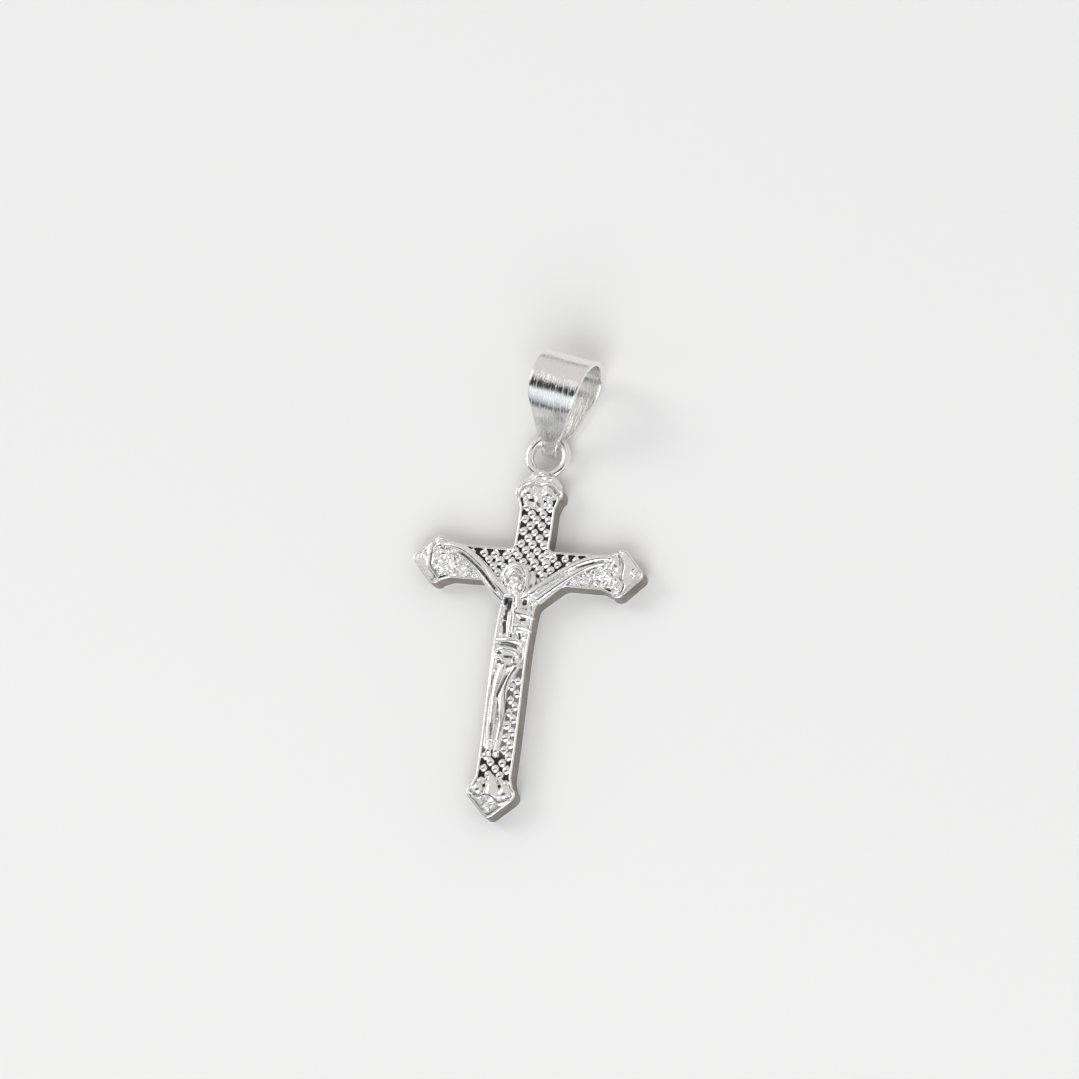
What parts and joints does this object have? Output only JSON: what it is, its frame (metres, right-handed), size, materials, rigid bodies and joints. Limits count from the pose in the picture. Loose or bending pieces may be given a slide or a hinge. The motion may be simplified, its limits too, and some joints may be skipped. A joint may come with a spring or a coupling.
{
  "type": "crucifix pendant",
  "caption": "Small cast silver crucifix pendant with pellet fields, pointed finials, a figure in relief, a fixed top ring and a wide folded bail.",
  "frame": {"origin": "on the flat back face, under the crossing of the upright's and the arms' middle lines", "axes": "+Z out of the front, +Y up the cross towards the ring and the bail, +X along the arm on the figure's own left"},
  "size_m": [0.013, 0.0258, 0.0039],
  "materials": {
    "cross": "polished silver casting, darkened in the sunk field",
    "bail": "polished silver sheet with fine scratches"
  },
  "bodies": {
    "cross": {"cross": "cross"},
    "bail": {"bail": "bail"}
  },
  "joints": [
    {"name": "bail_swing", "type": "hinge", "parent": "cross", "child": "bail", "pos_m": [0.0002, 0.00726, 0.00068], "axis": [0.9781, -0.2079, 0], "range_deg": [-118, 80]}
  ]
}
